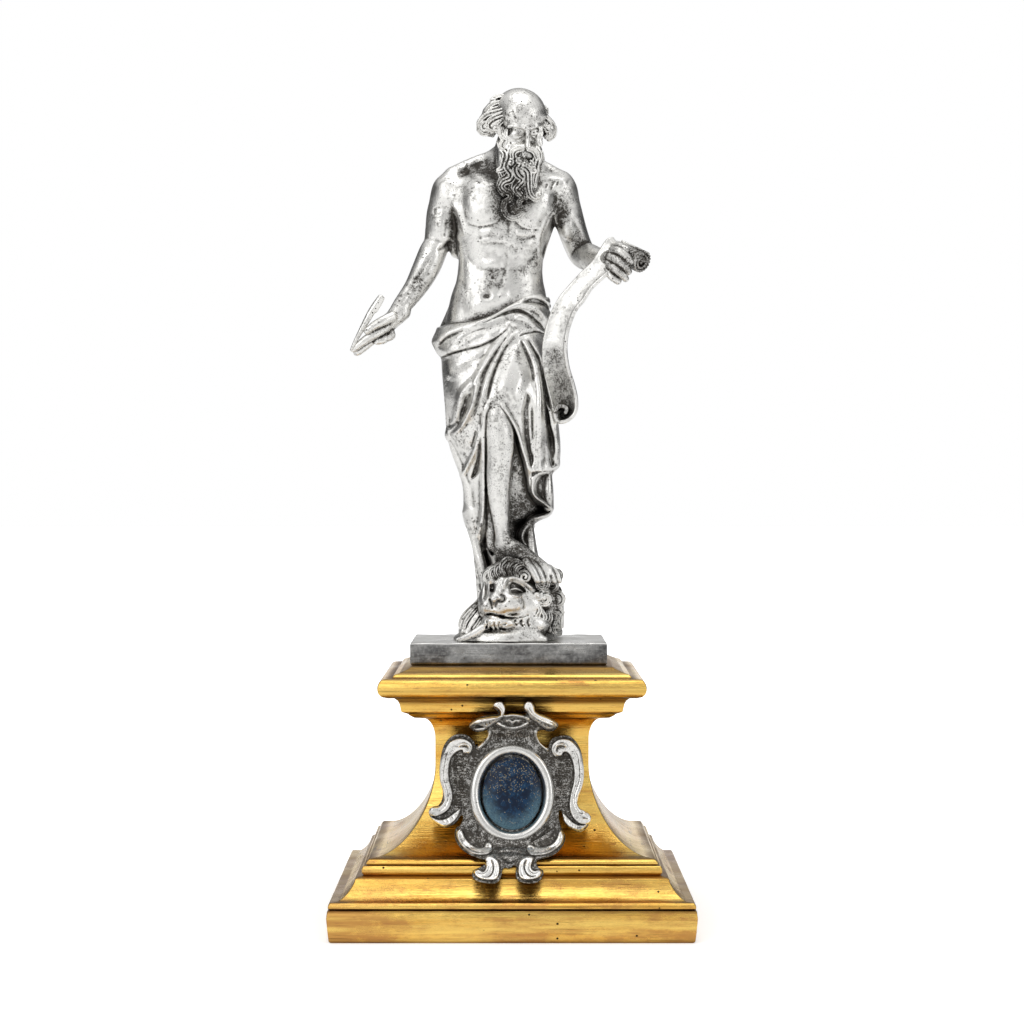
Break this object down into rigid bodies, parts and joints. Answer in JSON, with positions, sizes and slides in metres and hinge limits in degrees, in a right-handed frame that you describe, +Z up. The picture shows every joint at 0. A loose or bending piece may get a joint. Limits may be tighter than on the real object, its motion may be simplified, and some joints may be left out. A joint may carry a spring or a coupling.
{
  "type": "silver statuette",
  "caption": "Silver statuette of a bearded man with a quill and a scroll, his foot on a lion, on a moulded gilt plinth with an oval lapis stone in a silver cartouche.",
  "frame": {"origin": "centre of the plinth's underside, on the surface the statuette stands on", "axes": "+Z up, the front of the figure and the cartouche face -Y, +X to the viewer's right"},
  "size_m": [0.1262, 0.1262, 0.2992],
  "materials": {
    "silver": "polished cast silver with grey tarnish, dark recesses and casting pits",
    "dark_silver": "silver slab with mottled dark grey tarnish and bright worn edges",
    "gilt": "fire-gilt metal, worn to brown and orange at edges and joints",
    "lapis": "polished deep blue lapis lazuli with gold pyrite specks and a pale lower rim"
  },
  "bodies": {
    "root": {"plinth_base_block": "gilt", "plinth_base_moulding": "gilt", "plinth_waist": "gilt", "plinth_cornice": "gilt", "base_slab": "dark_silver", "figure_and_lion": "silver", "scroll": "silver", "quill_pen": "silver", "cartouche": "silver", "bezel_ring": "silver", "lapis_stone": "lapis"}
  },
  "joints": []
}
